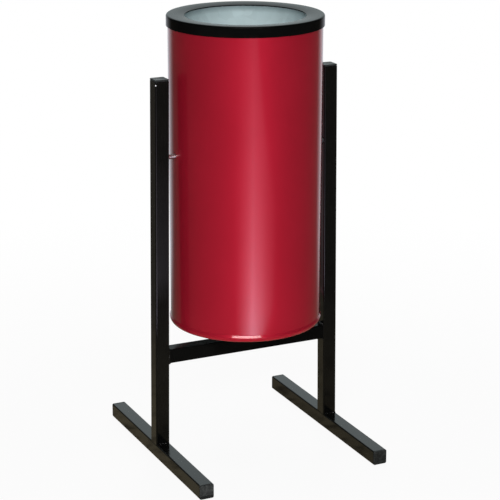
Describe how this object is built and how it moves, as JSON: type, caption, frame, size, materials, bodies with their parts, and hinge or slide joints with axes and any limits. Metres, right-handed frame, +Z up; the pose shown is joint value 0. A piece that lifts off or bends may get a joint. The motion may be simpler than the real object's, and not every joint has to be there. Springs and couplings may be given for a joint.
{
  "type": "ashtray bin",
  "caption": "Free-standing ashtray bin: a round steel bin with a lift-off ring and ash bowl, hung on side pivots in a square-tube stand so that it tips over to empty.",
  "frame": {"origin": "on the ground, midway between the two feet", "axes": "+Z up, +X along the pivot axis from the left post to the right post, -Y to the front"},
  "size_m": [0.3528, 0.4, 0.7652],
  "materials": {
    "red_paint": "glossy",
    "black_paint": "semi-gloss",
    "black_plastic": "satin",
    "galvanised": "galvanised",
    "zinc": "bright zinc"
  },
  "bodies": {
    "stand": {"left_foot": "black_paint", "right_foot": "black_paint", "left_post": "black_paint", "right_post": "black_paint", "crossbar": "black_paint", "left_foot_front_plug": "black_plastic", "left_foot_rear_plug": "black_plastic", "right_foot_front_plug": "black_plastic", "right_foot_rear_plug": "black_plastic", "left_post_plug": "black_plastic", "right_post_plug": "black_plastic", "left_thread_insert": "zinc", "right_thread_insert": "zinc", "left_pivot_bolt": "zinc", "right_pivot_bolt": "zinc", "left_pivot_washer": "zinc", "right_pivot_washer": "zinc"},
    "bin": {"bin_shell": "red_paint", "bin_base": "galvanised", "left_pivot_plate": "galvanised", "right_pivot_plate": "galvanised"},
    "lid": {"top_ring": "black_paint", "ash_bowl": "galvanised"}
  },
  "joints": [
    {"name": "bin_tilt", "type": "hinge", "parent": "stand", "child": "bin", "pos_m": [0, 0, 0.53463], "axis": [1, 0, 0], "continuous": true},
    {"name": "lid_lift", "type": "slide", "parent": "bin", "child": "lid", "axis": [0, 0, 1], "range_m": [0, 0.06]}
  ]
}
